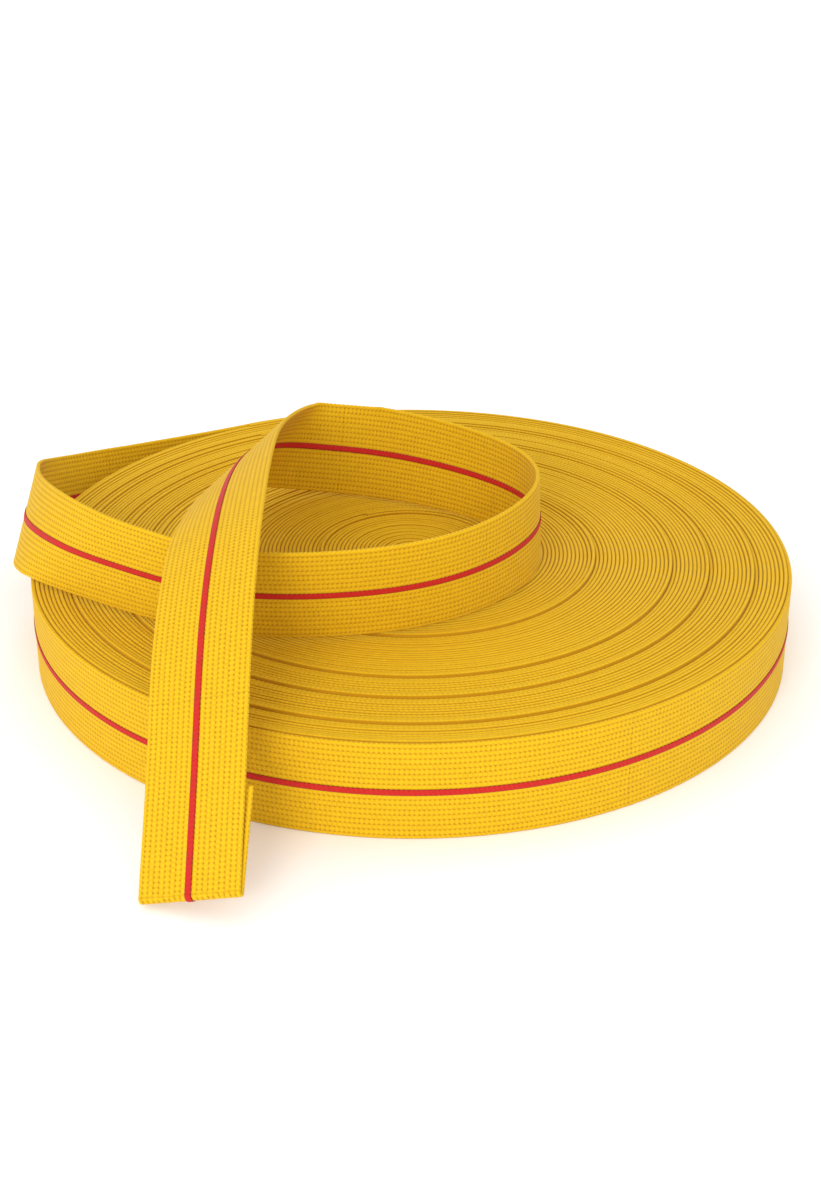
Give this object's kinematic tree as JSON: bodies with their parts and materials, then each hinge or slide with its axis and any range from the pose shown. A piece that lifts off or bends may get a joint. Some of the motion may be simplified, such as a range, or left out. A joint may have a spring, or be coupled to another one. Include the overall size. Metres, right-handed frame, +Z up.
{
  "type": "belt webbing roll",
  "caption": "Flat roll of woven belt webbing with a contrasting tracer, its loose end looped over the roll and hanging in front.",
  "frame": {"origin": "under the middle of the whole object's box, on the surface it lies on", "axes": "+Z up, along the roll's own axis; -Y towards the side where the loose end hangs down"},
  "size_m": [0.3307, 0.375, 0.1021],
  "materials": {
    "webbing": "plain woven cotton, matt",
    "tracer": "woven yarn, matt"
  },
  "bodies": {
    "roll": {"outermost_turn": "webbing", "rim_turns": "webbing", "outer_turns": "webbing", "middle_turns": "webbing", "inner_turns": "webbing", "core_turns": "webbing", "centre_turns": "webbing", "rim_tracer": "tracer"},
    "loose_loop": {"lead_off": "webbing", "lower_bend": "webbing", "upper_bend": "webbing", "crossing": "webbing", "loop_front": "webbing", "loop_right": "webbing", "loop_back": "webbing", "top_fold": "webbing", "lead_off_tracer_outer": "tracer", "lead_off_tracer_inner": "tracer", "lower_bend_tracer_outer": "tracer", "lower_bend_tracer_inner": "tracer", "upper_bend_tracer_outer": "tracer", "upper_bend_tracer_inner": "tracer", "crossing_tracer_outer": "tracer", "crossing_tracer_inner": "tracer", "loop_front_tracer_outer": "tracer", "loop_front_tracer_inner": "tracer", "loop_right_tracer_outer": "tracer", "loop_right_tracer_inner": "tracer", "loop_back_tracer_outer": "tracer", "loop_back_tracer_inner": "tracer", "top_fold_tracer_outer": "tracer", "top_fold_tracer_inner": "tracer"},
    "tail": {"bridge": "webbing", "hanging_length": "webbing", "bridge_tracer_outer": "tracer", "bridge_tracer_inner": "tracer", "hanging_length_tracer_outer": "tracer", "hanging_length_tracer_inner": "tracer"},
    "tip": {"tip_length": "webbing", "bottom_fold": "webbing", "tucked_end": "webbing", "tip_length_tracer_outer": "tracer", "tip_length_tracer_inner": "tracer"}
  },
  "joints": [
    {"name": "feed_swing", "type": "hinge", "parent": "roll", "child": "loose_loop", "pos_m": [-0.07527, 0.16575, 0.02], "axis": [0, 0, -1], "range_deg": [0, 25]},
    {"name": "tail_lift", "type": "hinge", "parent": "loose_loop", "child": "tail", "pos_m": [-0.06513, 0.01844, 0.0831], "axis": [-0.7579, -0.0848, -0.6469], "range_deg": [0, 50]},
    {"name": "tip_bend", "type": "hinge", "parent": "tail", "child": "tip", "pos_m": [-0.06889, -0.13195, 0.05746], "axis": [-0.9143, 0.2648, -0.3064], "range_deg": [0, 45]}
  ]
}
